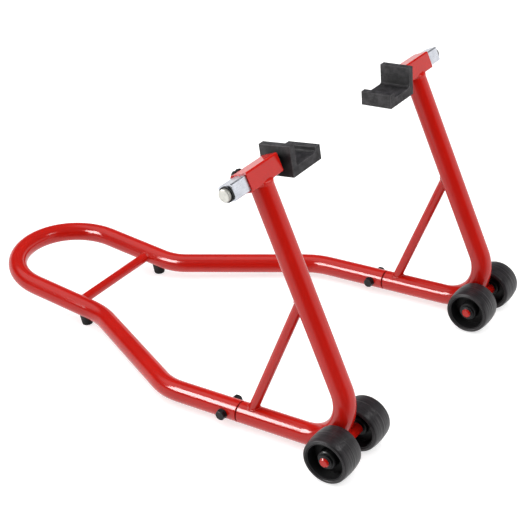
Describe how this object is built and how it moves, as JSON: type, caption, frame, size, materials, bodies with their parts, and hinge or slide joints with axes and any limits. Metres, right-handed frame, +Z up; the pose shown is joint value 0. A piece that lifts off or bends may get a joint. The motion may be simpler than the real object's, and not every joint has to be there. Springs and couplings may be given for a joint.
{
  "type": "motorcycle paddock stand",
  "caption": "Tubular motorcycle paddock stand: U-shaped handle frame, braced uprights, sliding swivelling rubber swingarm cradles and twin-wheel axles each side.",
  "frame": {"origin": "centre of the stand's footprint box, on the floor", "axes": "+X from the handle loop towards the wheels, +Y the operator's left looking from the handle, +Z up"},
  "size_m": [0.7204, 0.494, 0.3725],
  "materials": {
    "red_powder_coat": "glossy powder coat",
    "zinc_plate": "bright zinc plate",
    "cap_metal": "satin plated",
    "bare_steel": "plain machined steel",
    "black_steel": "black oxide",
    "black_plastic": "fine moulded satin",
    "pad_rubber": "moulded matt rubber",
    "tyre_rubber": "satin moulded rubber"
  },
  "bodies": {
    "stand_frame": {"handle_tube": "red_powder_coat", "handle_cross_brace": "red_powder_coat", "joint_bolts": "black_steel", "joint_nuts": "black_steel", "joint_washers": "black_steel", "wheel_washers": "black_plastic", "wheel_retainers": "black_steel", "foot_screws": "zinc_plate", "left_side_tube": "red_powder_coat", "left_strut": "red_powder_coat", "left_joint_sleeve": "black_steel", "left_head_tube": "red_powder_coat", "left_weld_nut": "red_powder_coat", "left_axle": "red_powder_coat", "left_foot": "pad_rubber", "right_side_tube": "red_powder_coat", "right_strut": "red_powder_coat", "right_joint_sleeve": "black_steel", "right_head_tube": "red_powder_coat", "right_weld_nut": "red_powder_coat", "right_axle": "red_powder_coat", "right_foot": "pad_rubber"},
    "left_slider_arm": {"left_slider": "zinc_plate", "left_slider_bushes": "black_plastic"},
    "left_cradle": {"left_swivel_shaft": "bare_steel", "left_shaft_cap": "cap_metal", "left_pad_core": "bare_steel", "left_rubber_pad": "pad_rubber"},
    "left_lock_stud": {"left_lock_screw": "bare_steel"},
    "left_lock_handwheel": {"left_lock_knob": "black_plastic"},
    "left_outer_wheel": {"left_outer_tyre": "tyre_rubber", "left_outer_hub": "black_plastic"},
    "left_inner_wheel": {"left_inner_tyre": "tyre_rubber", "left_inner_hub": "black_plastic"},
    "right_slider_arm": {"right_slider": "zinc_plate", "right_slider_bushes": "black_plastic"},
    "right_cradle": {"right_swivel_shaft": "bare_steel", "right_shaft_cap": "cap_metal", "right_pad_core": "bare_steel", "right_rubber_pad": "pad_rubber"},
    "right_lock_stud": {"right_lock_screw": "bare_steel"},
    "right_lock_handwheel": {"right_lock_knob": "black_plastic"},
    "right_outer_wheel": {"right_outer_tyre": "tyre_rubber", "right_outer_hub": "black_plastic"},
    "right_inner_wheel": {"right_inner_tyre": "tyre_rubber", "right_inner_hub": "black_plastic"}
  },
  "joints": [
    {"name": "left_width_slide", "type": "slide", "parent": "stand_frame", "child": "left_slider_arm", "axis": [0, 1, 0], "range_m": [-0.026, 0.006]},
    {"name": "left_cradle_swivel", "type": "hinge", "parent": "left_slider_arm", "child": "left_cradle", "pos_m": [0.22823, 0.1445, 0.352], "axis": [0, 1, 0], "continuous": true},
    {"name": "left_lock_advance", "type": "slide", "parent": "stand_frame", "child": "left_lock_stud", "axis": [-0.9361, 0, -0.3518], "range_m": [0, 0.0025]},
    {"name": "left_lock_turn", "type": "hinge", "parent": "left_lock_stud", "child": "left_lock_handwheel", "pos_m": [0.22823, 0.168, 0.352], "axis": [-0.9361, 0, -0.3518], "range_deg": [0, 720]},
    {"name": "left_outer_wheel_spin", "type": "hinge", "parent": "stand_frame", "child": "left_outer_wheel", "pos_m": [0.3295, 0.222, 0.0307], "axis": [0, 1, 0], "continuous": true},
    {"name": "left_inner_wheel_spin", "type": "hinge", "parent": "stand_frame", "child": "left_inner_wheel", "pos_m": [0.3295, 0.1524, 0.0307], "axis": [0, 1, 0], "continuous": true},
    {"name": "right_width_slide", "type": "slide", "parent": "stand_frame", "child": "right_slider_arm", "axis": [0, -1, 0], "range_m": [-0.026, 0.006]},
    {"name": "right_cradle_swivel", "type": "hinge", "parent": "right_slider_arm", "child": "right_cradle", "pos_m": [0.22823, -0.1445, 0.352], "axis": [0, 1, 0], "continuous": true},
    {"name": "right_lock_advance", "type": "slide", "parent": "stand_frame", "child": "right_lock_stud", "axis": [-0.9361, 0, -0.3518], "range_m": [0, 0.0025]},
    {"name": "right_lock_turn", "type": "hinge", "parent": "right_lock_stud", "child": "right_lock_handwheel", "pos_m": [0.22823, -0.197, 0.352], "axis": [-0.9361, 0, -0.3518], "range_deg": [0, 720]},
    {"name": "right_outer_wheel_spin", "type": "hinge", "parent": "stand_frame", "child": "right_outer_wheel", "pos_m": [0.3295, -0.222, 0.0307], "axis": [0, 1, 0], "continuous": true},
    {"name": "right_inner_wheel_spin", "type": "hinge", "parent": "stand_frame", "child": "right_inner_wheel", "pos_m": [0.3295, -0.1524, 0.0307], "axis": [0, 1, 0], "continuous": true}
  ],
  "couplings": [
    {"joint": "left_lock_advance", "follows": "left_lock_turn", "m_per_rad": 0.00019894},
    {"joint": "right_lock_advance", "follows": "right_lock_turn", "m_per_rad": 0.00019894}
  ]
}
